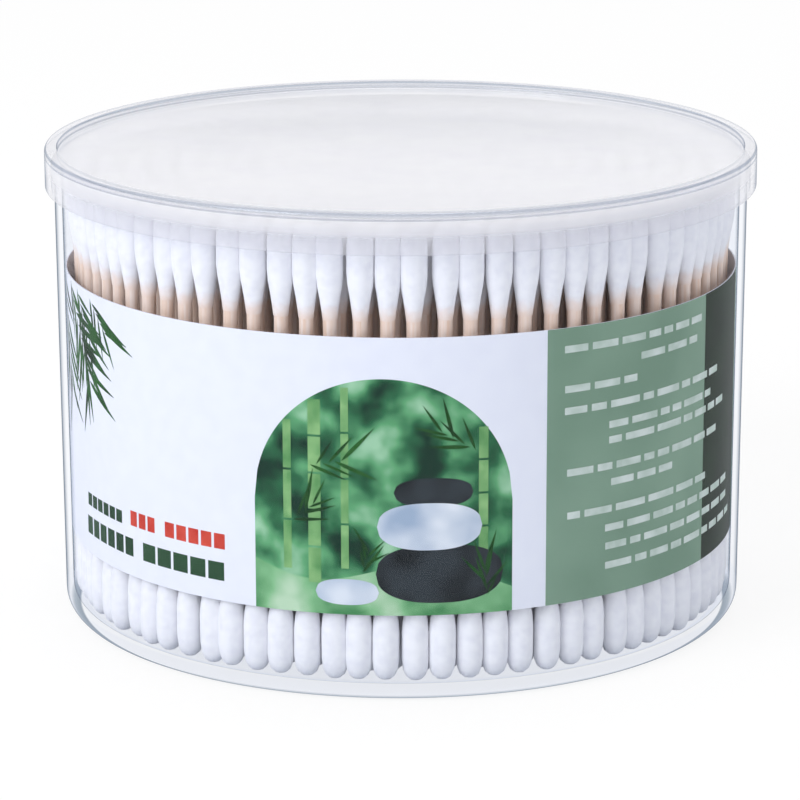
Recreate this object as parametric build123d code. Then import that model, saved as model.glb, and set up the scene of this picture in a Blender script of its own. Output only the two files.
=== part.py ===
from build123d import *
import os
from math import asin, floor, pi

# A clear drum of bamboo cotton swabs: a tub with a press-on lid, a paper sleeve
# inside the tub wall, and upright swabs in rings from the wall to the middle.
# The swabs set the size of everything that holds them.
# Millimetres. +Z is up and the origin is the middle of the foot.

# Swab
swab_length = 73.0
stick_diameter = 2.3
tip_diameter = 4.25
tip_length = 15.0
nose_diameter = 3.3
nose_round = 1.45
belly_start = 3.0
belly_end = 7.0
belly_round = 4.0
shoulder_diameter = 3.1
shoulder_end = 9.8
neck_wrap = 0.33
end_cotton = 1.8
stick_clearance = 0.03

# Rings of swabs
ring_count = 13
open_rings = 1
swab_gap = 0.05
ring_gap = 0.2
swab_clearance = 0.03

# Paper sleeve
sleeve_bottom = 14.0
band_above_sleeve = 17.3
paper = 0.2
sleeve_clearance = 0.1
lap_angle = 12.0

# Tub
tub_draft = 0.3
tub_wall = 1.2
floor_thickness = 1.2
foot_recess = 1.2
foot_ring_width = 3.0
base_round = 2.9
inner_round = 1.5
rim_round = 0.3
bead_height = 1.1
bead_proud = 0.2
bead_round = 0.15
head_room = 0.4
stand_off = 0.1

# Lid
skirt_wall = 1.0
skirt_height = 6.6
skirt_clearance = 0.5
panel_thickness = 1.2
ridge_height = 1.4
ridge_width = 2.0
ridge_round = 0.7
panel_round = 0.4
skirt_round = 0.3
snap_proud = 0.1
snap_height = 0.9
seat_clearance = 0.1

# Heights that follow
floor_top = foot_recess + floor_thickness
swab_bottom = floor_top + stand_off
swab_top = swab_bottom + swab_length
panel_bottom = swab_top + head_room
tub_height = panel_bottom - seat_clearance
sleeve_top = tub_height - band_above_sleeve
bead_bottom = tub_height - bead_height
panel_top = panel_bottom + panel_thickness
lid_top = panel_top + ridge_height
skirt_bottom = lid_top - skirt_height

# Radii that follow
outer_ring_radius = (ring_count - 1) * (tip_diameter + ring_gap)
sleeve_radius = outer_ring_radius + tip_diameter / 2 + swab_clearance + 2 * paper
draft_at_sleeve = tub_draft * sleeve_bottom / tub_height
base_radius = sleeve_radius + sleeve_clearance + tub_wall - draft_at_sleeve
tub_radius = base_radius + tub_draft
recess_radius = base_radius - base_round - foot_ring_width
skirt_inside = tub_radius + skirt_clearance
lid_radius = skirt_inside + skirt_wall


def drum(bottom_radius, top_radius, bottom, top):
    """A round block between two heights, with straight drafted sides."""
    height = top - bottom
    block = Cone(bottom_radius, top_radius, height, align=(Align.CENTER, Align.CENTER, Align.MIN))
    return Pos(0, 0, bottom) * block


def cylinder(radius, bottom, top):
    """A round block between two heights, with upright sides."""
    block = Cylinder(radius, top - bottom, align=(Align.CENTER, Align.CENTER, Align.MIN))
    return Pos(0, 0, bottom) * block


def low_edges(block):
    """The edges at the lowest level of a block."""
    return block.edges().group_by(Axis.Z)[0]


def high_edges(block):
    """The edges at the highest level of a block."""
    return block.edges().group_by(Axis.Z)[-1]


def inner_rim(block):
    """The innermost edge at the highest level of a block."""
    return high_edges(block).sort_by(SortBy.RADIUS)[0]


def tub():
    """Injection-moulded tub: drafted wall, foot ring, and a bead round the rim."""
    outside = drum(base_radius, tub_radius, 0, tub_height)
    outside = fillet(low_edges(outside), base_round)
    bead = cylinder(tub_radius + bead_proud, bead_bottom, tub_height)
    bead = fillet(bead.edges().filter_by(GeomType.CIRCLE), bead_round)
    cavity = drum(base_radius - tub_wall, tub_radius - tub_wall, floor_top, tub_height)
    cavity = fillet(low_edges(cavity), inner_round)
    recess = cylinder(recess_radius, 0, foot_recess)
    recess = fillet(high_edges(recess), rim_round)
    body = outside + bead - cavity - recess
    return fillet(inner_rim(body), rim_round)


def lid():
    """Press-on lid: a panel sunk inside a raised ridge, with a skirt that holds the rim bead."""
    outside = cylinder(lid_radius, skirt_bottom, lid_top)
    outside = fillet(high_edges(outside), ridge_round)
    outside = fillet(low_edges(outside), skirt_round)
    sunk = cylinder(lid_radius - ridge_width, panel_top, lid_top)
    sunk = fillet(low_edges(sunk), panel_round)
    ridged = outside - sunk
    ridged = fillet(inner_rim(ridged), rim_round)
    inside = cylinder(skirt_inside, skirt_bottom, panel_bottom)
    inside = fillet(high_edges(inside), rim_round)
    snap_top = bead_bottom - seat_clearance
    snap = cylinder(skirt_inside, snap_top - snap_height, snap_top)
    snap -= cylinder(skirt_inside - snap_proud, snap_top - snap_height, snap_top)
    return ridged - inside + snap


def label_sleeve():
    """Printed paper strip rolled into a sleeve, its ends lapped and glued at the back."""
    lap_radius = sleeve_radius - paper - paper / 2
    lap = Rot(0, 0, 90 - lap_angle / 2) * CenterArc((0, 0), lap_radius, 0, lap_angle)
    section = Circle(sleeve_radius) - Circle(sleeve_radius - paper) + trace(lap, paper)
    return extrude(Pos(0, 0, sleeve_bottom) * section, sleeve_top - sleeve_bottom)


def tip_corners():
    """Corners of a wound tip's outline, from its nose to the thin end of its neck."""
    return [
        (nose_diameter / 2, 0),
        (tip_diameter / 2, belly_start),
        (tip_diameter / 2, belly_end),
        (shoulder_diameter / 2, shoulder_end),
        (stick_diameter / 2 + neck_wrap, tip_length),
    ]


def round_nose(section):
    """The section of a tip with its nose rounded."""
    nose = section.vertices().sort_by_distance((nose_diameter / 2, 0))[0]
    return fillet(nose, nose_round)


def tip():
    """Wound cotton tip, nose down at the origin, with the blind hole that the stick fills."""
    hole = stick_diameter / 2 + stick_clearance
    bore = [(hole, tip_length), (hole, end_cotton), (0, end_cotton)]
    section = make_face(Polyline((0, 0), *tip_corners(), *bore, close=True))
    section = round_nose(section)
    belly = section.vertices().group_by(Axis.X)[-1]
    section = fillet(belly, belly_round)
    return revolve(Plane.XZ * section, Axis.Z)


def stick():
    """Round bamboo stick, standing on the cotton at the bottom of the lower tip's hole."""
    reach = end_cotton + stick_clearance
    return cylinder(stick_diameter / 2, reach, swab_length - reach)


def joined_swab():
    """One swab of the inner rings, its stick and cotton in one solid with plain bellies."""
    middle = swab_length / 2
    half_stick = [(stick_diameter / 2, tip_length), (stick_diameter / 2, middle), (0, middle)]
    section = make_face(Polyline((0, 0), *tip_corners(), *half_stick, close=True))
    half = revolve(Plane.XZ * round_nose(section), Axis.Z)
    return half + mirror(half, Plane.XY.offset(middle))


def ring_places(number):
    """Where the swabs of one ring stand, evenly spaced and as many as fit."""
    radius = outer_ring_radius * (1 - number / (ring_count - 1))
    pitch = tip_diameter + swab_gap
    if radius < pitch / 2:
        return Locations((0, 0))
    return PolarLocations(radius, floor(pi / asin(pitch / (2 * radius))))


def ring_of(piece, number):
    """Copies of one piece of a swab at every place of a ring."""
    places = [Pos(0, 0, swab_bottom) * place for place in ring_places(number)]
    return Compound(children=[place * piece for place in places])


os.makedirs("parts", exist_ok=True)

export_step(tub(), "parts/tub.step")
export_step(lid(), "parts/lid.step")
export_step(label_sleeve(), "parts/label_sleeve.step")

lower_tip = tip()
upper_tip = Pos(0, 0, swab_length) * Rot(180, 0, 0) * lower_tip
swab_stick = stick()
for number in range(open_rings):
    ring = f"swab_ring_{number + 1:02d}"
    export_step(ring_of(swab_stick, number), f"parts/{ring}_sticks.step")
    export_step(ring_of(upper_tip, number), f"parts/{ring}_upper_tips.step")
    export_step(ring_of(lower_tip, number), f"parts/{ring}_lower_tips.step")

inner_swab = joined_swab()
for number in range(open_rings, ring_count):
    export_step(ring_of(inner_swab, number), f"parts/swab_ring_{number + 1:02d}.step")
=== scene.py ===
# %% [markdown]
# # A clear drum of bamboo cotton swabs
#
# The object is a moulded tub with a press-on lid, a printed paper sleeve inside the tub wall,
# and 500 swabs that stand upright in rings. The solid model gives every place and size, so
# this script starts by loading it as a fixed frame and only adds looks around it.

# %% Load the frame
import math
import random
import bmesh
import bpy
from mathutils import Matrix, Vector


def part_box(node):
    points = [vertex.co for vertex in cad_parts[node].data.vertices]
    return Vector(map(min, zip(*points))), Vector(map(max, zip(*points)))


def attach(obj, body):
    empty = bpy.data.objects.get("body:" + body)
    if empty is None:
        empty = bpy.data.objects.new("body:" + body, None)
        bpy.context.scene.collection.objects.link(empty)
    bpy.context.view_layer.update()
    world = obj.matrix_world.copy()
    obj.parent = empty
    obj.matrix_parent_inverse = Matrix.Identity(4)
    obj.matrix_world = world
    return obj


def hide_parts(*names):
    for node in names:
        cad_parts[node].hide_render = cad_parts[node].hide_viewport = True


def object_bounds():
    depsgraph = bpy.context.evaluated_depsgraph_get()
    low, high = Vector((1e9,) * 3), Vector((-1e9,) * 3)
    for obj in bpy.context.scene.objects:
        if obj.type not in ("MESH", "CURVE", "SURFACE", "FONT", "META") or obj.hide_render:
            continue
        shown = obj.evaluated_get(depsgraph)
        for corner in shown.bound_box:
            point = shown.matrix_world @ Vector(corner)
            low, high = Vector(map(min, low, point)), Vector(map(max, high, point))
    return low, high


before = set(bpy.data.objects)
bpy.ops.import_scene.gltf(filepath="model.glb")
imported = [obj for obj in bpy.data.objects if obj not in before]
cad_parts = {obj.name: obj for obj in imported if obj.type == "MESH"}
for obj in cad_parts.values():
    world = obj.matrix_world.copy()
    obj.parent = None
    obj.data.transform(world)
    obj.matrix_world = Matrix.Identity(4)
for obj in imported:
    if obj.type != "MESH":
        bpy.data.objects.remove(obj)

cad_low, cad_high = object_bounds()
MM = 0.001
print("nodes", len(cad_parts), "height in mm", round((cad_high.z - cad_low.z) / MM, 1))

# %% [markdown]
# ## The camera
#
# The photo looks down on the drum by about 14.5 degrees from six tenths of a metre, with a long
# lens. The image plane is pitched a little more than that and the frame is shifted, as after
# a crop, so the script builds the camera's axes by hand in place of aiming it at the middle.

# %% Camera
camera_distance = 599.3 * MM
camera_elevation = math.radians(14.50)
camera_pitch = math.radians(14.84)
camera_roll = math.radians(-0.13)
camera_lens = 159.6
frame_shift = (-0.0015, -0.0131)

middle = Vector((0, 0, (cad_low.z + cad_high.z) / 2))
forward = Vector((0, math.cos(camera_pitch), -math.sin(camera_pitch)))
level_up = Vector((0, math.sin(camera_pitch), math.cos(camera_pitch)))
level_right = Vector((1, 0, 0))
right = math.cos(camera_roll) * level_right + math.sin(camera_roll) * level_up
up = math.cos(camera_roll) * level_up - math.sin(camera_roll) * level_right

camera_data = bpy.data.cameras.new("camera")
camera_data.lens = camera_lens
camera_data.sensor_width = 36
camera_data.shift_x, camera_data.shift_y = frame_shift
camera = bpy.data.objects.new("camera", camera_data)
bpy.context.scene.collection.objects.link(camera)
offset = Vector((0, -math.cos(camera_elevation), math.sin(camera_elevation)))
turn = Matrix((right, up, -forward)).transposed().to_4x4()
camera.matrix_world = Matrix.Translation(middle + camera_distance * offset) @ turn
bpy.context.scene.camera = camera
bpy.context.scene.view_settings.view_transform = "Standard"
print("camera at", tuple(round(c, 3) for c in camera.location))

# %% [markdown]
# ## Helpers for materials
#
# Colours are written as the sRGB hex values that a screen shows. Shaders work in linear light,
# so one function converts them. A second one adds a node with its settings and its links, which
# keeps every material below short enough to read.

# %% Colour and node helpers
def linear(hex_colour):
    """An sRGB hex colour as a linear RGBA value."""
    values = [int(hex_colour[i : i + 2], 16) / 255 for i in (1, 3, 5)]
    return (*(v / 12.92 if v <= 0.04045 else ((v + 0.055) / 1.055) ** 2.4 for v in values), 1)


def add(tree, kind, values=None, links=None, **settings):
    """A new node with its settings, its input values and the sockets that feed its inputs."""
    node = tree.nodes.new(kind)
    for name, value in settings.items():
        setattr(node, name, value)
    for name, value in (values or {}).items():
        node.inputs[name].default_value = value
    for name, source in (links or {}).items():
        tree.links.new(source, node.inputs[name])
    return node


def new_material(name):
    """An empty node material and its output node."""
    material = bpy.data.materials.new(name)
    material.use_nodes = True
    material.node_tree.nodes.clear()
    return material, material.node_tree, material.node_tree.nodes.new("ShaderNodeOutputMaterial")


# %% [markdown]
# ## Floor and background
#
# The photo is a cut-out on pure white. The floor is matt white board that keeps the soft shadow.
# To the camera, and in glass and gloss, most of it is an even white, so the horizon vanishes; the
# world does the same. Light Path tells the shaders which kind of ray is asking.

# %% Floor and world
def seen_directly(tree):
    """A socket that is 1 for the camera's rays and for those that glass or gloss passes on."""
    path = add(tree, "ShaderNodeLightPath")
    first = add(
        tree, "ShaderNodeMath",
        links={0: path.outputs["Is Camera Ray"], 1: path.outputs["Is Glossy Ray"]},
        operation="MAXIMUM",
    )
    both = add(
        tree, "ShaderNodeMath", links={0: first.outputs[0], 1: path.outputs["Is Transmission Ray"]},
        operation="MAXIMUM",
    )
    return both.outputs[0]


def floor_material():
    """Matt white studio board, mostly burnt out to even white where it is looked at."""
    material, tree, output = new_material("white_studio_board")
    board = add(tree, "ShaderNodeBsdfDiffuse", {"Color": linear("#F7F7F8"), "Roughness": 0.5})
    white = add(tree, "ShaderNodeEmission", {"Color": linear("#FFFFFF"), "Strength": 1.0})
    share = add(
        tree, "ShaderNodeMath", {1: burnt_out}, {0: seen_directly(tree)}, operation="MULTIPLY"
    )
    mixed = add(
        tree, "ShaderNodeMixShader",
        links={0: share.outputs[0], 1: board.outputs[0], 2: white.outputs[0]},
    )
    tree.links.new(mixed.outputs[0], output.inputs["Surface"])
    return material


burnt_out = 0.86
floor_half = 3.0
floor_gap = 0.02 * MM
floor_level = cad_low.z - floor_gap
floor_mesh = bpy.data.meshes.new("floor")
floor_corners = [
    (x * floor_half, y * floor_half, floor_level) for x, y in ((-1, -1), (1, -1), (1, 1), (-1, 1))
]
floor_mesh.from_pydata(floor_corners, [], [(0, 1, 2, 3)])
floor_mesh.materials.append(floor_material())
floor = bpy.data.objects.new("floor", floor_mesh)
bpy.context.scene.collection.objects.link(floor)

fill_strength = 0.7
world = bpy.data.worlds.new("studio")
bpy.context.scene.world = world
world.use_nodes = True
sky = world.node_tree
sky.nodes.clear()
strength = add(
    sky, "ShaderNodeMapRange", {"To Min": fill_strength, "To Max": 1.0},
    {"Value": seen_directly(sky)},
)
backdrop = add(
    sky, "ShaderNodeBackground", {"Color": linear("#FFFFFF")}, {"Strength": strength.outputs[0]}
)
add(sky, "ShaderNodeOutputWorld", links={"Surface": backdrop.outputs[0]})
print("world fill", fill_strength, "floor level in mm", round(floor_level / MM, 2))

# %% [markdown]
# ## Lamps
#
# Round white things only show their form when light comes more from one side. A broad softbox
# stands high on the left, and a weaker one hangs over the lid, as in a product studio.

# %% Softboxes
def softbox(name, place, size, power):
    """A square area lamp that faces the middle of the drum."""
    data = bpy.data.lights.new(name, "AREA")
    data.shape = "SQUARE"
    data.size = size
    data.energy = power
    lamp = bpy.data.objects.new(name, data)
    bpy.context.scene.collection.objects.link(lamp)
    lamp.location = place
    lamp.rotation_mode = "QUATERNION"
    lamp.rotation_quaternion = (middle - Vector(place)).to_track_quat("-Z", "Y")
    return lamp


lamps = [
    softbox("softbox_left", (-0.9, -0.8, 0.8), 0.7, 8.5),
    softbox("softbox_top", (0.1, 0.1, 1.3), 0.5, 3.5),
]
print("lamps", len(lamps))

# %% [markdown]
# ## Clear and milky plastic
#
# The tub is crystal polystyrene, injection moulded in a polished mould: clear, hard-edged and
# glossy. Its wall is so thin and even that what is behind it hardly moves, so the light may pass
# straight through, which is quick and clean to render. What shows a clear wall is its edge: there
# the eye looks along the plastic, which greys a little, and the gloss grows; part of that grey is a
# painted dark reflection. The lid is a softer, milky grade: its faces scatter a share of the light,
# in faint streaks that the plastic's flow left. Both get thin grey rings of painted shade where
# they bend, and how milky the lid is goes by its thickness there, so each plastic gets a list of
# heights with a tint, painted shade included, and a milky share.

# %% Plastics
edge_starts = 0.84
gloss_power = 5.0
passed_on = 0.45
flow_stretch = (0.12, 0.12, 1)
streak_size = 1.4 * MM
polish_size = 9 * MM


def by_height(tree, place, stops, outside):
    """Tint with painted shade, and milky share, by height in mm. Within the radius "outside" the
    last stop holds.
    """
    lowest, highest = stops[0][0], stops[-1][0]
    axes = add(tree, "ShaderNodeSeparateXYZ", links={"Vector": place})
    flat = add(tree, "ShaderNodeVectorMath", {1: (1, 1, 0)}, {0: place}, operation="MULTIPLY")
    radius = add(tree, "ShaderNodeVectorMath", links={0: flat.outputs[0]}, operation="LENGTH")
    within = add(
        tree, "ShaderNodeMath", {1: outside * MM}, {0: radius.outputs["Value"]},
        operation="LESS_THAN",
    )
    raised = add(
        tree, "ShaderNodeMath", {1: highest * MM}, {0: within.outputs[0], 2: axes.outputs["Z"]},
        operation="MULTIPLY_ADD",
    )
    level = add(
        tree, "ShaderNodeMapRange", {"From Min": lowest * MM, "From Max": highest * MM},
        {"Value": raised.outputs[0]},
    )
    ramp = add(tree, "ShaderNodeValToRGB", links={"Fac": level.outputs[0]})
    # The end stops come first, because each new stop moves the ones after it.
    elements = ramp.color_ramp.elements
    elements[0].color = (*linear(stops[0][1])[:3], stops[0][2])
    elements[1].color = (*linear(stops[-1][1])[:3], stops[-1][2])
    for height, tint_and_painted_shade, milk in stops[1:-1]:
        stop = elements.new((height - lowest) / (highest - lowest))
        stop.color = (*linear(tint_and_painted_shade)[:3], milk)
    return ramp.outputs["Color"], ramp.outputs["Alpha"]


def moulded_plastic(name, stops, edge_grey_and_painted_reflection, gloss, roughness, outside=0):
    """Thin moulded plastic. gloss is its share, looking straight at it and looking along it."""
    material, tree, output = new_material(name)
    place = add(tree, "ShaderNodeTexCoord").outputs["Object"]
    tint_and_painted_shade, milk = by_height(tree, place, stops, outside)
    slant = add(tree, "ShaderNodeLayerWeight", {"Blend": 0.5}).outputs["Facing"]
    # Grey towards grazing: partly the longer way through the plastic, partly a painted dark
    # reflection.
    along_wall_and_painted_reflection = add(
        tree, "ShaderNodeMapRange", {"From Min": edge_starts, "From Max": 1.0}, {"Value": slant},
        interpolation_type="SMOOTHSTEP",
    )
    colour = add(
        tree, "ShaderNodeMix", {"B": linear(edge_grey_and_painted_reflection)},
        {"A": tint_and_painted_shade, "Factor": along_wall_and_painted_reflection.outputs[0]}, data_type="RGBA",
    )
    body = add(tree, "ShaderNodeBsdfTransparent", links={"Color": colour.outputs["Result"]})
    if any(stop[2] for stop in stops):
        flow = add(tree, "ShaderNodeMapping", {"Scale": flow_stretch}, {"Vector": place})
        streaks = add(
            tree, "ShaderNodeTexNoise", {"Scale": 1 / streak_size, "Detail": 3.0},
            {"Vector": flow.outputs[0]},
        )
        cloud = add(tree, "ShaderNodeValToRGB", links={"Fac": streaks.outputs["Fac"]})
        cloud.color_ramp.elements[0].position = 0.3
        cloud.color_ramp.elements[0].color = linear("#F8F8FB")
        cloud.color_ramp.elements[1].position = 0.7
        cloud.color_ramp.elements[1].color = linear("#FFFFFF")
        back = add(tree, "ShaderNodeBsdfDiffuse", links={"Color": cloud.outputs["Color"]})
        onward = add(tree, "ShaderNodeBsdfTranslucent", links={"Color": cloud.outputs["Color"]})
        scattered = add(
            tree, "ShaderNodeMixShader", {0: passed_on}, {1: back.outputs[0], 2: onward.outputs[0]}
        )
        body = add(
            tree, "ShaderNodeMixShader",
            links={0: milk, 1: body.outputs[0], 2: scattered.outputs[0]},
        )
    polish = add(
        tree, "ShaderNodeTexNoise", {"Scale": 1 / polish_size, "Detail": 2.0}, {"Vector": place}
    )
    shine = add(
        tree, "ShaderNodeMapRange", {"To Min": roughness / 2, "To Max": roughness},
        {"Value": polish.outputs["Fac"]},
    )
    mirror = add(
        tree, "ShaderNodeBsdfAnisotropic",
        links={"Color": colour.outputs["Result"], "Roughness": shine.outputs[0]},
    )
    steep = add(tree, "ShaderNodeMath", {1: gloss_power}, {0: slant}, operation="POWER")
    share = add(
        tree, "ShaderNodeMapRange", {"To Min": gloss[0], "To Max": gloss[1]},
        {"Value": steep.outputs[0]},
    )
    mixed = add(
        tree, "ShaderNodeMixShader",
        links={0: share.outputs[0], 1: body.outputs[0], 2: mirror.outputs[0]},
    )
    tree.links.new(mixed.outputs[0], output.inputs["Surface"])
    return material


# %% [markdown]
# ## Turned shapes
#
# Tub and lid are round, so each is its half outline turned about the axis. The outline is a
# short list of corners, with the rounded ones made by a formula. A fine turn keeps the clear
# wall free of flat facets, which would show as stripes in glass.

# %% Turning helpers
def corner(centre, radius, start, end, steps=6):
    """Points of an arc in the half outline, angles in degrees from the outward direction."""
    angles = [math.radians(start + (end - start) * i / steps) for i in range(steps + 1)]
    return [(centre[0] + radius * math.cos(a), centre[1] + radius * math.sin(a)) for a in angles]


def turned(name, outline, segments, sharp_angle=40):
    """A closed mesh from a half outline in millimetres whose two ends lie on the axis."""
    mesh = bpy.data.meshes.new(name)
    built = bmesh.new()
    rings = []
    for across, height in outline[1:-1]:
        ring = []
        for i in range(segments):
            angle = 2 * math.pi * i / segments
            place = (across * math.cos(angle) * MM, across * math.sin(angle) * MM, height * MM)
            ring.append(built.verts.new(place))
        rings.append(ring)
    first = built.verts.new((0, 0, outline[0][1] * MM))
    last = built.verts.new((0, 0, outline[-1][1] * MM))
    for i in range(segments):
        j = (i + 1) % segments
        built.faces.new((first, rings[0][j], rings[0][i]))
        built.faces.new((last, rings[-1][i], rings[-1][j]))
        for low, high in zip(rings, rings[1:]):
            built.faces.new((low[i], low[j], high[j], high[i]))
    bmesh.ops.recalc_face_normals(built, faces=built.faces)
    for face in built.faces:
        face.smooth = True
    built.to_mesh(mesh)
    built.free()
    mesh.set_sharp_from_angle(angle=math.radians(sharp_angle))
    return mesh


def placed(name, mesh, material, body, slot, *nodes):
    """A finished piece: its object, with its material, body and the nodes it replaces; slot is not
    used.
    """
    piece = bpy.data.objects.new(name, mesh)
    bpy.context.scene.collection.objects.link(piece)
    mesh.materials.clear()
    mesh.materials.append(material)
    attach(piece, body)
    if nodes:
        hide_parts(*nodes)
    print(name, len(mesh.polygons), "faces")
    return piece


# %% [markdown]
# ## The tub
#
# The mould leaves a wall that widens a little towards the rim, a rounded base that stands on
# a narrow ring, and a small bead round the rim which the lid presses over.

# %% Tub
tub_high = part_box("tub")[1]
lid_low, lid_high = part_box("lid")
wall = 1.2
base_thickness = 1.2
foot_recess = 1.2
foot_ring_width = 3.0
base_round = 2.9
inner_round = 1.5
small_round = 0.3
bead_proud = 0.2
bead_height = 1.1
bead_round = 0.15
draft = 0.3
tub_height = tub_high.z / MM
rim_radius = tub_high.x / MM - bead_proud
base_radius = rim_radius - draft
floor_top = foot_recess + base_thickness
recess_radius = base_radius - base_round - foot_ring_width
hold = 0.25


def wall_point(depth, height):
    """A point on the drafted wall, near a round, that keeps the shading of the wall straight."""
    return base_radius - depth + draft * height / tub_height, height


tub_outline = [
    (0, foot_recess),
    *corner((recess_radius - small_round, foot_recess - small_round), small_round, 90, 0),
    (recess_radius, 0),
    *corner((base_radius - base_round, base_round), base_round, -90, 0, 12),
    wall_point(0, base_round + hold),
    wall_point(0, tub_height - bead_height - hold),
    (rim_radius, tub_height - bead_height),
    *corner(
        (rim_radius + bead_proud - bead_round, tub_height - bead_height + bead_round), bead_round,
        -80, 0, 3,
    ),
    *corner((rim_radius + bead_proud - bead_round, tub_height - bead_round), bead_round, 0, 90, 3),
    *corner((rim_radius - wall + small_round, tub_height - small_round), small_round, 90, 180, 4),
    wall_point(wall, tub_height - small_round - hold),
    wall_point(wall, floor_top + inner_round + hold),
    *corner((base_radius - wall - inner_round, floor_top + inner_round), inner_round, 0, -90, 8),
    (0, floor_top),
]
turn_steps = 256
# The grey from 0.09 to 0.5 mm is a painted dark line of shade along the foot, and the faint
# grey-lavender up to 3.4 mm is painted shade on the base's rounded edge.
tub_tints_and_painted_shade = (
    (0.0, "#FBFCFE", 0), (0.03, "#FBFCFE", 0), (0.09, "#A6B1BC", 0), (0.5, "#B9C2CC", 0),
    (1.1, "#F4F6FB", 0), (3.0, "#F6F8FC", 0), (3.4, "#FBFCFE", 0),
)
crystal_polystyrene = moulded_plastic(
    "crystal_polystyrene_moulded", tub_tints_and_painted_shade, "#9AA6B4", (0.006, 0.05), 0.05,
    base_radius - base_round,
)
placed(
    "clear_tub", turned("clear_tub", tub_outline, turn_steps), crystal_polystyrene, "filled_tub",
    "tub_plastic", "tub",
)

# %% [markdown]
# ## The lid
#
# A flat panel lies sunk inside a raised ridge, so that drums stack. The skirt hangs from the
# ridge and carries a slight rib inside, below the tub's bead.

# %% Lid
skirt_wall = 1.0
panel_thickness = 1.2
ridge_width = 2.0
ridge_height = 1.4
ridge_round = 0.7
panel_round = 0.4
snap_proud = 0.1
snap_height = 0.9
snap_play = 0.1
lid_radius = lid_high.x / MM
lid_top = lid_high.z / MM
skirt_bottom = lid_low.z / MM
skirt_inside = lid_radius - skirt_wall
panel_top = lid_top - ridge_height
panel_bottom = panel_top - panel_thickness
ridge_inside = lid_radius - ridge_width
snap_top = tub_height - bead_height - snap_play

lid_outline = [
    (0, panel_bottom),
    *corner((skirt_inside - small_round, panel_bottom - small_round), small_round, 90, 0, 4),
    (skirt_inside, snap_top),
    (skirt_inside - snap_proud, snap_top),
    (skirt_inside - snap_proud, snap_top - snap_height),
    (skirt_inside, snap_top - snap_height),
    (skirt_inside, skirt_bottom),
    *corner((lid_radius - small_round, skirt_bottom + small_round), small_round, -90, 0, 4),
    *corner((lid_radius - ridge_round, lid_top - ridge_round), ridge_round, 0, 90, 8),
    (ridge_inside, lid_top),
    *corner((ridge_inside - panel_round, panel_top + panel_round), panel_round, 0, -90, 5),
    (0, panel_top),
]
# The grey stops just above the panel and just below the top of the ridge are painted shade: dark
# rings where the plastic bends.
lid_milk_and_painted_shade = (
    (skirt_bottom, "#FCFCFE", 0.13), (skirt_bottom + 2.4, "#FCFCFE", 0.16),
    (skirt_bottom + 3.4, "#FCFCFE", 0.4), (panel_top + 0.08, "#FCFCFE", 0.55),
    (panel_top + 0.14, "#D3D8E0", 0.3), (panel_top + 0.36, "#D3D8E0", 0.2),
    (panel_top + 0.5, "#FCFCFE", 0.15), (lid_top - 0.6, "#FCFCFE", 0.15),
    (lid_top - 0.42, "#C6CDD7", 0.15), (lid_top - 0.16, "#C6CDD7", 0.15),
    (lid_top - 0.08, "#FCFCFE", 0.3), (lid_top, "#FCFCFE", 0.3),
)
milky_polypropylene = moulded_plastic(
    "milky_polypropylene_moulded", lid_milk_and_painted_shade, "#9FA9B8", (0.05, 1.0), 0.16
)
placed(
    "milky_lid", turned("milky_lid", lid_outline, turn_steps), milky_polypropylene, "lid",
    "lid_plastic", "lid",
)

# %% [markdown]
# ## Finish of the swabs
#
# The sticks are bare bamboo, sawn and turned: pale straw with fine darker fibres that run the
# whole length. The tips are cotton, wound on wet and dried: soft white, fully matt, a little
# lumpy. Towards its end the wool thins out, so the bamboo shows through it more and more.

# %% Bamboo
bamboo_fibre = 0.5 * MM
bamboo_patch = 7 * MM
along_stick = (1, 1, 0.04)


def bamboo_material():
    """Bare bamboo, sawn and turned: straight fibres about half a millimetre apart."""
    material, tree, output = new_material("bare_bamboo")
    place = add(tree, "ShaderNodeTexCoord").outputs["Object"]
    along = add(tree, "ShaderNodeMapping", {"Scale": along_stick}, {"Vector": place})
    fibres = add(
        tree, "ShaderNodeTexNoise", {"Scale": 1 / bamboo_fibre, "Detail": 3.0, "Roughness": 0.6},
        {"Vector": along.outputs[0]},
    )
    patches = add(
        tree, "ShaderNodeTexNoise", {"Scale": 1 / bamboo_patch, "Detail": 1.0}, {"Vector": place}
    )
    straw = add(tree, "ShaderNodeValToRGB", links={"Fac": fibres.outputs["Fac"]})
    straw.color_ramp.elements[0].position = 0.3
    straw.color_ramp.elements[0].color = linear("#EAC8AE")
    straw.color_ramp.elements[1].position = 0.62
    straw.color_ramp.elements[1].color = linear("#FFF3EC")
    warmer = add(
        tree, "ShaderNodeMix", {"B": linear("#F8DBC6")},
        {"A": straw.outputs["Color"], "Factor": patches.outputs["Fac"]}, data_type="RGBA",
    )
    bump = add(
        tree, "ShaderNodeBump", {"Strength": 0.35, "Distance": 0.05 * MM},
        {"Height": fibres.outputs["Fac"]},
    )
    wood = add(
        tree, "ShaderNodeBsdfPrincipled", {"Roughness": 0.62},
        {"Base Color": warmer.outputs["Result"], "Normal": bump.outputs[0]},
    )
    tree.links.new(wood.outputs[0], output.inputs["Surface"])
    return material


bare_bamboo = bamboo_material()
print("made", bare_bamboo.name)

# %% Sizes of a swab
swab_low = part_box("swab_ring_01_lower_tips")[0].z
swab_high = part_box("swab_ring_01_upper_tips")[1].z
swab_length = (swab_high - swab_low) / MM
swab_middle = (swab_low + swab_high) / 2
stick_low, stick_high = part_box("swab_ring_01_sticks")
stick_radius = 1.15
tip_radius = 2.125
tip_length = 15.0
thin_wool = 3.4
print("swab length in mm", round(swab_length, 2))


# %% Cotton
cotton_lump = 1.6 * MM
cotton_fibre = 0.3 * MM
across_tip = (0.4, 0.4, 1)
ragged_neck = 2.4 * MM
neck_reach = 0.9


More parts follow.
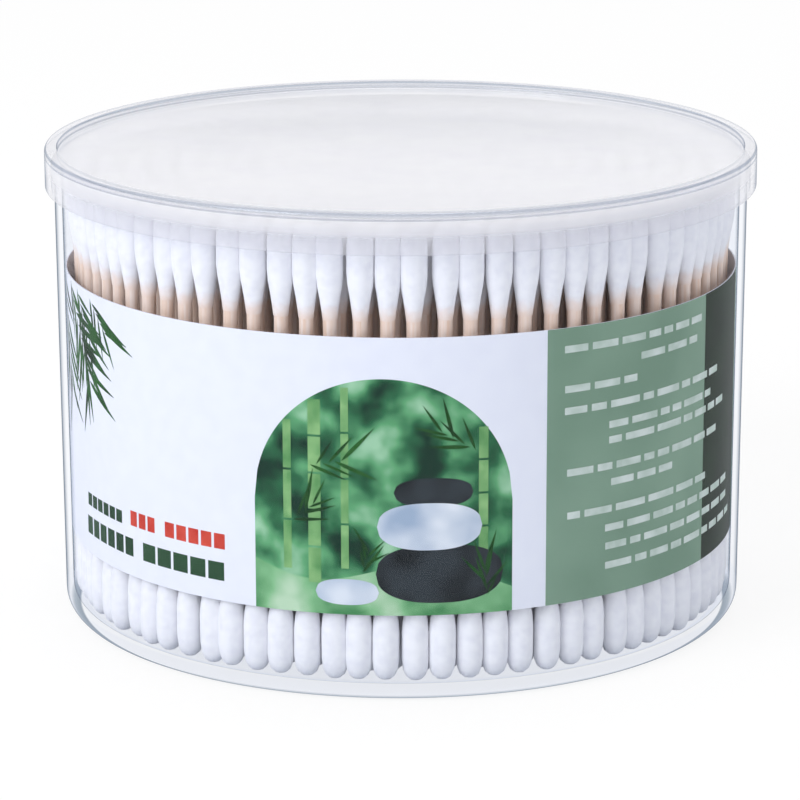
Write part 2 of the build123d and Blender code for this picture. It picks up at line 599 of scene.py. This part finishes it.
def cotton_material():
    """Wound cotton: matt white and lumpy, with fine fibres across and a thin, ragged neck."""
    material, tree, output = new_material("wound_cotton")
    place = add(tree, "ShaderNodeTexCoord").outputs["Object"]
    lumps = add(
        tree, "ShaderNodeTexNoise", {"Scale": 1 / cotton_lump, "Detail": 2.0}, {"Vector": place}
    )
    across = add(tree, "ShaderNodeMapping", {"Scale": across_tip}, {"Vector": place})
    fibres = add(
        tree, "ShaderNodeTexNoise", {"Scale": 1 / cotton_fibre, "Detail": 3.0, "Distortion": 0.6},
        {"Vector": across.outputs[0]},
    )
    height = add(
        tree, "ShaderNodeMath", {1: 0.35}, {0: fibres.outputs["Fac"], 2: lumps.outputs["Fac"]},
        operation="MULTIPLY_ADD",
    )
    white = add(tree, "ShaderNodeValToRGB", links={"Fac": height.outputs[0]})
    white.color_ramp.elements[0].position = 0.35
    white.color_ramp.elements[0].color = linear("#F0F0F7")
    white.color_ramp.elements[1].position = 0.8
    white.color_ramp.elements[1].color = linear("#FCFCFF")
    axes = add(tree, "ShaderNodeSeparateXYZ", links={"Vector": place})
    above = add(
        tree, "ShaderNodeMath", {1: swab_middle}, {0: axes.outputs["Z"]}, operation="SUBTRACT"
    )
    away = add(tree, "ShaderNodeMath", links={0: above.outputs[0]}, operation="ABSOLUTE")
    ragged = add(
        tree, "ShaderNodeMath", {1: ragged_neck}, {0: lumps.outputs["Fac"], 2: away.outputs[0]},
        operation="MULTIPLY_ADD",
    )
    neck_end = (swab_length / 2 - tip_length + neck_reach) * MM
    cover = add(
        tree, "ShaderNodeMapRange", {"From Min": neck_end, "From Max": neck_end + thin_wool * MM},
        {"Value": ragged.outputs[0]}, interpolation_type="SMOOTHSTEP",
    )
    wool_colour = add(
        tree, "ShaderNodeMix", {"A": linear("#F8E2D4")},
        {"B": white.outputs["Color"], "Factor": cover.outputs[0]}, data_type="RGBA",
    )
    bump = add(
        tree, "ShaderNodeBump", {"Strength": 0.5, "Distance": 0.12 * MM},
        {"Height": height.outputs[0]},
    )
    wool = add(
        tree, "ShaderNodeBsdfPrincipled",
        {"Roughness": 1.0, "Specular IOR Level": 0.2, "Sheen Weight": 0.3, "Sheen Roughness": 0.6},
        {"Base Color": wool_colour.outputs["Result"], "Normal": bump.outputs[0]},
    )
    tree.links.new(wool.outputs[0], output.inputs["Surface"])
    return material


wound_cotton = cotton_material()
print("made", wound_cotton.name)

# %% [markdown]
# ## One swab
#
# A stick and a pair of tips are modelled once, centred on the middle of the swab, so that a lean
# turns all of a swab together. A tip has the round nose, the full belly and the long thinning
# neck of wound cotton. The outer ring shows through the wall, so its tips are turned finer.

# %% Swab pieces
tip_outline = [
    (0, 0),
    (0.95, 0.14),
    (1.55, 0.66),
    (1.98, 1.7),
    (2.17, 3.3),
    (2.17, 7.8),
    (2.0, 9.6),
    (1.67, 11.4),
    (1.4, 13.2),
    (1.17, tip_length),
    (0, tip_length - 0.2),
]
plain_tip_outline = [tip_outline[i] for i in (0, 1, 2, 4, 5, 7, 9, 10)]


def tips(name, outline, segments):
    """Both cotton tips of a swab in one mesh, the swab's middle at the origin."""
    mesh = turned(name, outline, segments, 60)
    mesh.transform(Matrix.Translation((0, 0, -swab_length / 2 * MM)))
    both = bmesh.new()
    both.from_mesh(mesh)
    mesh.transform(Matrix.Rotation(math.pi, 4, "X"))
    both.from_mesh(mesh)
    both.to_mesh(mesh)
    both.free()
    return bpy.data.objects.new(name, mesh)


def stick(name, segments):
    """The bamboo stick of a swab, the swab's middle at the origin."""
    reach = (stick_high.z - stick_low.z) / 2 / MM
    outline = [(0, -reach), (stick_radius, -reach), (stick_radius, reach), (0, reach)]
    return bpy.data.objects.new(name, turned(name, outline, segments, 60))


fine_tips = tips("fine_tips", tip_outline, 12)
plain_tips = tips("plain_tips", plain_tip_outline, 8)
round_stick = stick("round_stick", 8)
print("faces of a pair of tips", len(fine_tips.data.polygons), "or", len(plain_tips.data.polygons))

# %% [markdown]
# ## Rings of swabs by Geometry Nodes
#
# A packing machine drops the swabs in upright, and they settle almost in rings. One node tree
# makes a ring: points spaced round a circle, a copy of the piece on each, and a small lean and
# shift from a fixed seed. Both are larger along the ring than across it, because the wall and
# the next ring hold a swab there. Sticks and tips use the same seeds, so they stay together.

# %% Helpers for node trees
def new_tree(name, inputs):
    """A geometry node group with named inputs and one geometry output."""
    tree = bpy.data.node_groups.new(name, "GeometryNodeTree")
    for label, kind in inputs.items():
        tree.interface.new_socket(label, in_out="INPUT", socket_type="NodeSocket" + kind)
    tree.interface.new_socket("Geometry", in_out="OUTPUT", socket_type="NodeSocketGeometry")
    return tree, add(tree, "NodeGroupInput").outputs


def grown(tree, values, start=None):
    """The plain mesh that a node tree makes, with its inputs set by the sockets' identifiers."""
    holder = bpy.data.objects.new("holder", start or bpy.data.meshes.new("holder"))
    bpy.context.scene.collection.objects.link(holder)
    modifier = holder.modifiers.new("grow", "NODES")
    modifier.node_group = tree
    for item in tree.interface.items_tree:
        if item.in_out == "INPUT" and item.name in values:
            modifier[item.identifier] = values[item.name]
    shape = holder.evaluated_get(bpy.context.evaluated_depsgraph_get())
    mesh = bpy.data.meshes.new_from_object(shape)
    bpy.data.objects.remove(holder)
    return mesh


def joined(name, meshes):
    """Several meshes in one, without the old ones."""
    whole = bmesh.new()
    for mesh in meshes:
        whole.from_mesh(mesh)
        bpy.data.meshes.remove(mesh)
    mesh = bpy.data.meshes.new(name)
    whole.to_mesh(mesh)
    whole.free()
    return mesh


# %% Tree of one ring
def ring_tree():
    """A node group that stands copies of one swab piece round a ring."""
    tree, given = new_tree("ring of swabs", {
        "Piece": "Object", "Radius": "Float", "Count": "Int", "Middle": "Float",
        "Lean": "Vector", "Shift": "Vector", "Seed": "Int", "Finish": "Material",
    })
    index = add(tree, "GeometryNodeInputIndex")
    step = add(tree, "ShaderNodeMath", {0: 2 * math.pi}, {1: given["Count"]}, operation="DIVIDE")
    angle = add(
        tree, "ShaderNodeMath", links={0: index.outputs[0], 1: step.outputs[0]},
        operation="MULTIPLY",
    )
    turn = add(tree, "ShaderNodeCombineXYZ", links={"Z": angle.outputs[0]})
    start = add(tree, "ShaderNodeCombineXYZ", links={"X": given["Radius"], "Z": given["Middle"]})
    nudge = add(
        tree, "FunctionNodeRandomValue", {0: (-1, -1, 0), 1: (1, 1, 1)}, {"Seed": given["Seed"]},
        data_type="FLOAT_VECTOR",
    )
    shift = add(
        tree, "ShaderNodeVectorMath", links={0: nudge.outputs[0], 1: given["Shift"]},
        operation="MULTIPLY",
    )
    shifted = add(
        tree, "ShaderNodeVectorMath", links={0: start.outputs[0], 1: shift.outputs[0]},
        operation="ADD",
    )
    place = add(
        tree, "ShaderNodeVectorRotate",
        links={"Vector": shifted.outputs[0], "Rotation": turn.outputs[0]},
        rotation_type="EULER_XYZ",
    )
    points = add(
        tree, "GeometryNodePoints", links={"Count": given["Count"], "Position": place.outputs[0]}
    )
    lean_seed = add(tree, "ShaderNodeMath", {1: 100}, {0: given["Seed"]}, operation="ADD")
    tilt = add(
        tree, "FunctionNodeRandomValue", {0: (-1, -1, 0), 1: (1, 1, 0)},
        {"Seed": lean_seed.outputs[0]},
        data_type="FLOAT_VECTOR",
    )
    lean = add(
        tree, "ShaderNodeVectorMath",
        links={0: tilt.outputs[0], 1: given["Lean"], 2: turn.outputs[0]},
        operation="MULTIPLY_ADD",
    )
    piece = add(tree, "GeometryNodeObjectInfo", links={"Object": given["Piece"]})
    copies = add(tree, "GeometryNodeInstanceOnPoints", links={
        "Points": points.outputs[0], "Instance": piece.outputs["Geometry"],
        "Rotation": lean.outputs[0],
    })
    real = add(tree, "GeometryNodeRealizeInstances", links={0: copies.outputs[0]})
    finish = add(
        tree, "GeometryNodeSetMaterial",
        links={"Geometry": real.outputs[0], "Material": given["Finish"]},
    )
    add(tree, "NodeGroupOutput", links={0: finish.outputs[0]})
    return tree


ring_of_swabs = ring_tree()
print("tree", ring_of_swabs.name, "nodes", len(ring_of_swabs.nodes))

# %% Stand the swabs
ring_count = 13
tip_gap = 0.05
swab_pitch = 2 * tip_radius + tip_gap
wall_play = 0.15
outer_ring_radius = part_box("swab_ring_01_lower_tips")[1].x / MM - tip_radius
lean_most = (math.radians(0.8), math.radians(0.4), 0)
shift_most = (0.13 * MM, 0.24 * MM, 0.25 * MM)


def ring_size(number):
    """Radius in millimetres and number of swabs of one ring, counted from the wall."""
    share = 1 - number / (ring_count - 1)
    radius = outer_ring_radius * share
    if radius < swab_pitch / 2:
        return 0.0, 1
    return radius - wall_play * share, math.floor(math.pi / math.asin(swab_pitch / (2 * radius)))


def standing(name, piece, finish, numbers):
    """One plain mesh with copies of a swab piece in the numbered rings."""
    rings = []
    for number in numbers:
        radius, count = ring_size(number)
        rings.append(grown(ring_of_swabs, {
            "Piece": piece, "Radius": radius * MM, "Count": count, "Middle": swab_middle,
            "Lean": lean_most, "Shift": shift_most, "Seed": number + 1, "Finish": finish,
        }))
    print(name, "rings", len(rings), "swabs", sum(ring_size(n)[1] for n in numbers))
    return joined(name, rings)


inner_nodes = [
    n for n in sorted(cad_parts) if n.startswith("swab_ring_") and n.count("_") == 2
]
placed(
    "bamboo_sticks", standing("bamboo_sticks", round_stick, bare_bamboo, range(ring_count)),
    bare_bamboo, "filled_tub", "bamboo", "swab_ring_01_sticks", *inner_nodes,
)
placed(
    "cotton_tips_outer", standing("cotton_tips_outer", fine_tips, wound_cotton, range(1)),
    wound_cotton, "filled_tub", "cotton", "swab_ring_01_upper_tips", "swab_ring_01_lower_tips",
)
placed(
    "cotton_tips_inner",
    standing("cotton_tips_inner", plain_tips, wound_cotton, range(1, ring_count)),
    wound_cotton, "filled_tub", "cotton", *inner_nodes,
)

# %% [markdown]
# ## The paper sleeve
#
# The label is coated paper, printed flat, rolled inside the wall and glued where its ends lap at
# the back. Paper and print are drawn flat first: X runs along the paper from the middle of the
# front, Y is the height above the floor and Z is off the paper. A node tree then rolls them up.

# %% Roll up the paper
def roll_tree():
    """A node group that rolls a flat drawing round the drum's axis."""
    tree, given = new_tree("roll round the drum", {
        "Flat": "Geometry", "Radius": "Float", "Finish": "Material",
    })
    drawn = add(tree, "GeometryNodeInputPosition")
    axes = add(tree, "ShaderNodeSeparateXYZ", links={0: drawn.outputs[0]})
    angle = add(
        tree, "ShaderNodeMath", links={0: axes.outputs["X"], 1: given["Radius"]},
        operation="DIVIDE",
    )
    radius = add(
        tree, "ShaderNodeMath", links={0: axes.outputs["Z"], 1: given["Radius"]}, operation="ADD"
    )
    front = add(tree, "ShaderNodeMath", {1: -1}, {0: radius.outputs[0]}, operation="MULTIPLY")
    start = add(tree, "ShaderNodeCombineXYZ", links={"Y": front.outputs[0], "Z": axes.outputs["Y"]})
    turn = add(tree, "ShaderNodeCombineXYZ", links={"Z": angle.outputs[0]})
    rolled = add(
        tree, "ShaderNodeVectorRotate",
        links={"Vector": start.outputs[0], "Rotation": turn.outputs[0]},
        rotation_type="EULER_XYZ",
    )
    moved = add(
        tree, "GeometryNodeSetPosition",
        links={"Geometry": given["Flat"], "Position": rolled.outputs[0]},
    )
    finish = add(
        tree, "GeometryNodeSetMaterial",
        links={"Geometry": moved.outputs[0], "Material": given["Finish"]},
    )
    add(tree, "NodeGroupOutput", links={0: finish.outputs[0]})
    return tree


roll_round_drum = roll_tree()
sleeve_low, sleeve_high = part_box("label_sleeve")
sleeve_radius = sleeve_high.x / MM
sleeve_bottom = sleeve_low.z / MM
sleeve_top = sleeve_high.z / MM
print("sleeve in mm: radius", round(sleeve_radius, 2), "top", round(sleeve_top, 2))


# %% Flat slabs
def strip_between(left, right, low, high, step=0.6):
    """Pairs of low and high points along the paper, between two heights or curves, in mm."""
    steps = max(1, round((right - left) / step))
    pairs = []
    for i in range(steps + 1):
        along = left + (right - left) * i / steps
        ends = [edge(along) if callable(edge) else edge for edge in (low, high)]
        pairs.append(((along, min(ends)), (along, ends[1])))
    return pairs


def slabs(name, strips, face, back):
    """A closed flat mesh of strips, each as thick as from its back to its face, in millimetres."""
    built = bmesh.new()
    for strip in strips:
        rows = []
        for low, high in strip:
            edges = ((low, face), (high, face), (high, back), (low, back))
            rows.append([built.verts.new((x * MM, y * MM, z * MM)) for (x, y), z in edges])
        for here, there in zip(rows, rows[1:]):
            for k in range(4):
                n = (k + 1) % 4
                built.faces.new((here[k], there[k], there[n], here[n]))
        built.faces.new(rows[0])
        built.faces.new(rows[-1][::-1])
    bmesh.ops.recalc_face_normals(built, faces=built.faces)
    mesh = bpy.data.meshes.new(name)
    built.to_mesh(mesh)
    built.free()
    return mesh


def rolled(name, flat, finish, *nodes):
    """A flat mesh rolled round the drum, as a finished piece in the tub."""
    mesh = grown(roll_round_drum, {"Radius": sleeve_radius * MM, "Finish": finish}, flat)
    mesh.name = name
    return placed(name, mesh, finish, "filled_tub", "printed_paper", *nodes)


# %% Paper and ink
mottle_starts, mottle_width = 0.34, 0.32
lap_angle = math.radians(12)
seam_gap = 0.01
paper_thickness = 0.2


def paper_material(name, colours, patch=2.5):
    """Coated paper: ink or white clay under a thin gloss, mottled where the fibres lie uneven."""
    material, tree, output = new_material(name)
    place = add(tree, "ShaderNodeTexCoord").outputs["Object"]
    mottle = add(
        tree, "ShaderNodeTexNoise", {"Scale": 1 / (patch * MM), "Detail": 2.5, "Roughness": 0.45},
        {"Vector": place},
    )
    ink = add(tree, "ShaderNodeValToRGB", links={"Fac": mottle.outputs["Fac"]})
    ramp = ink.color_ramp.elements
    while len(ramp) < len(colours):
        ramp.new(0.5)
    for i, colour in enumerate(colours):
        ramp[i].position = mottle_starts + mottle_width * i / (len(colours) - 1)
        ramp[i].color = linear(colour)
    coating = add(
        tree, "ShaderNodeBsdfPrincipled", {"Roughness": 0.55, "Specular IOR Level": 0.15},
        {"Base Color": ink.outputs["Color"]},
    )
    tree.links.new(coating.outputs[0], output.inputs["Surface"])
    return material


white_paper = paper_material("coated_paper_white", ("#EEF0FA", "#F1F3FC"))
half_turn = math.pi * sleeve_radius
lap = lap_angle / 2 * sleeve_radius
sheet = [strip_between(-half_turn, half_turn - seam_gap, sleeve_bottom, sleeve_top, 1.0)]
under = [
    strip_between(half_turn - lap, half_turn, sleeve_bottom, sleeve_top, 1.0),
    strip_between(-half_turn, lap - half_turn, sleeve_bottom, sleeve_top, 1.0),
]
flat_paper = joined("flat_paper", [
    slabs("outer_layer", sheet, 0, -paper_thickness),
    slabs("under_layer", under, -paper_thickness, -2 * paper_thickness),
])
rolled("paper_sleeve", flat_paper, white_paper, "label_sleeve")

# %% [markdown]
# ## Print
#
# The print is plain: a green panel with rows of pale dashes on the right, an arched picture of
# bamboo and river stones near the middle, and sprays of leaves above bold blocks on the left.
# Each ink is a closed film a hundredth of a millimetre thick, a little above the last, so its
# edges stay sharp in any view.

# %% Inks
ink_step = 0.014
film = 0.01


def ink(level):
    """The face and the back of a film of ink, counted from the paper up, in millimetres."""
    face = ink_step * (level + 1)
    return face, face - film


inks = {
    "panel_green": paper_material("ink_panel_green", ("#7C9A84", "#8AA791"), 14),
    "deep_green": paper_material("ink_deep_green", ("#20402A", "#2E5036"), 9),
    # shade_green is painted shade for the right side of the panel, not an ink.
    "shade_green": paper_material("painted_shade_panel_green", ("#122313", "#1B301C"), 9),
    "leaf_green": paper_material("ink_leaf_green", ("#0A2C12", "#2A6028"), 5),
    "pale_words": paper_material("ink_pale_words", ("#BFD0C4", "#DCE6DF"), 3),
    "coral": paper_material("ink_coral", ("#C4362B", "#D9503F"), 4),
    "foliage": paper_material("ink_soft_foliage", ("#0E3526", "#2C6B46", "#62A874", "#A3D2AC"), 7),
    "meadow": paper_material("ink_meadow", ("#4A8C58", "#86C08B", "#BFDDBC"), 8),
    "stone_dark": paper_material("ink_dark_stone", ("#101518", "#343B40"), 6),
    "stone_pale": paper_material("ink_pale_stone", ("#A3B6CD", "#EDF2F8"), 9),
    "stem": paper_material("ink_bamboo_stem", ("#5B9659", "#93C381"), 4),
}
print("inks", len(inks))

# %% Rows of words
# Pale dashes stand for the lines of small print. Each row has its foot, its start and its end.
small_print = (
    (54.5, 26.2, 60.7), (51.4, 41.3, 56.4), (48.1, 26.3, 42.9), (44.6, 26.3, 65.0),
    (41.3, 34.7, 61.9), (38.8, 34.7, 68.2), (34.6, 26.8, 66.7), (31.9, 35.2, 49.4),
    (27.6, 26.9, 63.1), (24.5, 34.1, 71.6), (21.5, 34.2, 71.9), (18.3, 34.2, 74.2),
)
shortest_word, longest_word, word_gap = 2.2, 6.5, 0.85
chance = random.Random(12)


def words(foot, start, end, height, shortest, longest, gap):
    """One row of dashes of uneven length, like the words of a line seen from a step away."""
    row = []
    while end - start > shortest:
        stop = min(end, start + chance.uniform(shortest, longest))
        row.append(strip_between(start, stop, foot, foot + height))
        start = stop + gap
    return row


# %% Green panel and its small print
panel_left, panel_right = 23.2, 93.0
shade_left, shade_right = 59.4, 78.8
word_height = 1.15
panel = [strip_between(panel_left, panel_right, sleeve_bottom, sleeve_top, 1.0)]
rolled("print_panel", slabs("flat", panel, *ink(0)), inks["panel_green"])
# The dark band on the right of the panel is painted shade, where the label turns away from the
# lamp.
shade = [strip_between(shade_left, shade_right, sleeve_bottom, sleeve_top, 1.0)]
rolled("print_panel_shade", slabs("flat", shade, *ink(1)), inks["shade_green"])
print_rows = []
for foot, start, end in small_print:
    print_rows += words(foot, start, end, word_height, shortest_word, longest_word, word_gap)
rolled("print_small_words", slabs("flat", print_rows, *ink(2)), inks["pale_words"])
print("dashes of small print", len(print_rows))


# %% Arched picture
arch_middle, arch_half, arch_spring, arch_rise = -3.0, 20.5, 32.0, 20.0
meadow_height, meadow_swell, meadow_slope = 20.5, 2.2, 0.09
stone_fullness = 2.4


def arch(along):
    """Height of the arch's edge."""
    across = min(1, abs(along - arch_middle) / arch_half)
    return arch_spring + arch_rise * math.sqrt(1 - across**2)


def meadow(along):
    """Height of the meadow inside the arch."""
    swell = meadow_swell * math.sin(0.16 * along + 0.8)
    return min(arch(along), meadow_height + swell - meadow_slope * along)


def stone(middle, base, half, height):
    """A river stone: a strip between the lower and upper half of a full, flattened round."""
    def edge(sign):
        def height_at(along):
            across = min(1, abs(along - middle) / half)
            bulge = (1 - across**stone_fullness) ** (1 / stone_fullness)
            return base + height / 2 * (1 + sign * bulge)
        return height_at
    return strip_between(middle - half, middle + half, edge(-1), edge(1), 0.4)


arch_left, arch_right = arch_middle - arch_half, arch_middle + arch_half
foliage = [strip_between(arch_left, arch_right, sleeve_bottom, arch, 0.5)]
rolled("print_foliage", slabs("flat", foliage, *ink(0)), inks["foliage"])
ground = [strip_between(arch_left, arch_right, sleeve_bottom, meadow, 0.5)]
rolled("print_meadow", slabs("flat", ground, *ink(1)), inks["meadow"])
dark_stones = [stone(6.0, 16.0, 10.0, 9.5), stone(5.0, 31.6, 6.2, 4.6)]
rolled("print_dark_stones", slabs("flat", dark_stones, *ink(3)), inks["stone_dark"])
pale_stones = [stone(4.4, 24.6, 8.2, 7.6), stone(-8.5, 15.6, 5.0, 4.2)]
rolled("print_pale_stones", slabs("flat", pale_stones, *ink(4)), inks["stone_pale"])


# %% Bamboo stems
joint_gap = 0.35
arch_gap = 0.3


def stem(along, low, width, joints):
    """A bamboo stem: short lengths between its joints, up to the arch."""
    left, right = along - width / 2, along + width / 2
    length = (arch(along) - arch_gap - low) / joints
    return [
        strip_between(left, right, low + i * length, low + (i + 1) * length - joint_gap)
        for i in range(joints)
    ]


stems = stem(-18.0, 21.0, 1.3, 3) + stem(-13.6, 19.0, 2.0, 5)
stems += stem(-8.8, 21.5, 1.2, 4) + stem(12.8, 23.0, 1.5, 4)
rolled("print_stems", slabs("flat", stems, *ink(2)), inks["stem"])

# %% [markdown]
# ### Leaves
#
# Printed leaves repeat with small changes, so a node tree sets them along a stem: each leaf
# turns to one side or the other, a little at random, and its size varies a little at random.

# %% Tree of a spray
def spray_tree():
    """A node group that sets leaves along a stem on the flat paper."""
    tree, given = new_tree("spray of leaves", {
        "Leaf": "Object", "Count": "Int", "Stem": "Float", "Spread": "Float", "Size": "Float",
        "Place": "Vector", "Turn": "Float", "Seed": "Int",
    })
    index = add(tree, "GeometryNodeInputIndex")
    share = add(
        tree, "ShaderNodeMath", links={0: index.outputs[0], 1: given["Count"]}, operation="DIVIDE"
    )
    along = add(
        tree, "ShaderNodeMath", links={0: share.outputs[0], 1: given["Stem"]}, operation="MULTIPLY"
    )
    spot = add(tree, "ShaderNodeCombineXYZ", links={"X": along.outputs[0]})
    points = add(
        tree, "GeometryNodePoints", links={"Count": given["Count"], "Position": spot.outputs[0]}
    )
    odd = add(tree, "ShaderNodeMath", {1: 2}, {0: index.outputs[0]}, operation="MODULO")
    side = add(
        tree, "ShaderNodeMath", {1: 2, 2: -1}, {0: odd.outputs[0]}, operation="MULTIPLY_ADD"
    )
    amount = add(
        tree, "FunctionNodeRandomValue", {2: 0.35, 3: 1.25}, {"Seed": given["Seed"]},
        data_type="FLOAT",
    )
    lean = add(
        tree, "ShaderNodeMath", links={0: side.outputs[0], 1: amount.outputs[1]},
        operation="MULTIPLY",
    )
    angle = add(
        tree, "ShaderNodeMath", links={0: lean.outputs[0], 1: given["Spread"]},
        operation="MULTIPLY",
    )
    turn = add(tree, "ShaderNodeCombineXYZ", links={"Z": angle.outputs[0]})
    size_seed = add(tree, "ShaderNodeMath", {1: 50}, {0: given["Seed"]}, operation="ADD")
    size = add(
        tree, "FunctionNodeRandomValue", {2: 0.6, 3: 1.0}, {"Seed": size_seed.outputs[0]},
        data_type="FLOAT",
    )
    scale = add(
        tree, "ShaderNodeMath", links={0: size.outputs[1], 1: given["Size"]}, operation="MULTIPLY"
    )
    scales = add(
        tree, "ShaderNodeCombineXYZ", {"Z": 1}, {"X": scale.outputs[0], "Y": scale.outputs[0]}
    )
    leaf = add(tree, "GeometryNodeObjectInfo", links={"Object": given["Leaf"]})
    copies = add(tree, "GeometryNodeInstanceOnPoints", links={
        "Points": points.outputs[0], "Instance": leaf.outputs["Geometry"],
        "Rotation": turn.outputs[0], "Scale": scales.outputs[0],
    })
    real = add(tree, "GeometryNodeRealizeInstances", links={0: copies.outputs[0]})
    heading = add(tree, "ShaderNodeCombineXYZ", links={"Z": given["Turn"]})
    moved = add(tree, "GeometryNodeTransform", links={
        "Geometry": real.outputs[0], "Translation": given["Place"], "Rotation": heading.outputs[0],
    })
    add(tree, "NodeGroupOutput", links={0: moved.outputs[0]})
    return tree


spray_of_leaves = spray_tree()
print("tree", spray_of_leaves.name, "nodes", len(spray_of_leaves.nodes))


# %% Sprays
leaf_stalk, leaf_belly = 0.004, 0.042
leaf_spread = math.radians(38)


def leaf_template(level):
    """A slender bamboo leaf one millimetre long, drawn at its ink's level."""
    def half(x):
        return leaf_stalk + leaf_belly * math.sin(math.pi * x**0.7)
    outline = strip_between(0, 1, lambda x: -half(x), half, 0.125)
    return bpy.data.objects.new("leaf", slabs("leaf", [outline], *ink(level)))


def sprays(name, level, finish, places):
    """Sprays of leaves on the paper: each with its place, heading, leaves, stem and leaf size."""
    leaf = leaf_template(level)
    made = []
    for seed, (along, height, heading, leaves, length, size) in enumerate(places):
        made.append(grown(spray_of_leaves, {
            "Leaf": leaf, "Count": leaves, "Stem": length * MM, "Spread": leaf_spread,
            "Size": size, "Place": (along * MM, height * MM, 0), "Turn": math.radians(heading),
            "Seed": seed + level,
        }))
    return rolled(name, joined(name, made), finish)


sprays("print_leaves_left", 0, inks["leaf_green"], (
    (-80.0, 58.0, -70, 14, 20.0, 12.0), (-73.0, 58.0, -52, 14, 16.0, 11.5),
    (-68.5, 57.6, -50, 11, 10.0, 12.0), (-67.0, 51.5, -62, 10, 10.0, 12.0),
    (-62.0, 57.4, -40, 8, 8.0, 11.0),
))
sprays("print_leaves_arch", 5, inks["leaf_green"], (
    (-14.2, 38.0, 10, 6, 6.0, 7.5), (-17.0, 29.0, 40, 6, 5.0, 7.0), (11.5, 40.5, 150, 7, 7.0, 7.5),
    (-6.0, 21.0, 75, 6, 4.0, 5.5), (13.5, 17.0, 95, 7, 5.0, 6.5),
))
sprays("print_leaves_back", 0, inks["leaf_green"], (
    (-128.0, 57.0, -70, 12, 20.0, 12.0), (128.0, 15.5, 100, 12, 20.0, 12.0),
    (142.0, 15.5, 70, 9, 14.0, 10.0),
))

# %% Bold words on the left
def blocks(foot, height, start, end, count, gap):
    """A row of equal blocks, which stand for bold capitals."""
    step = (end - start + gap) / count
    return [
        strip_between(start + i * step, start + (i + 1) * step - gap, foot, foot + height)
        for i in range(count)
    ]


title = blocks(17.3, 3.0, -65.4, -49.2, 6, 0.55) + blocks(17.3, 3.0, -46.6, -29.2, 5, 0.55)
title += blocks(22.2, 2.1, -65.0, -52.3, 6, 0.4)
count = blocks(22.5, 2.5, -49.8, -43.6, 3, 0.5) + blocks(22.5, 2.5, -41.2, -29.0, 5, 0.5)
rolled("print_title", slabs("flat", title, *ink(0)), inks["deep_green"])
rolled("print_count", slabs("flat", count, *ink(0)), inks["coral"])
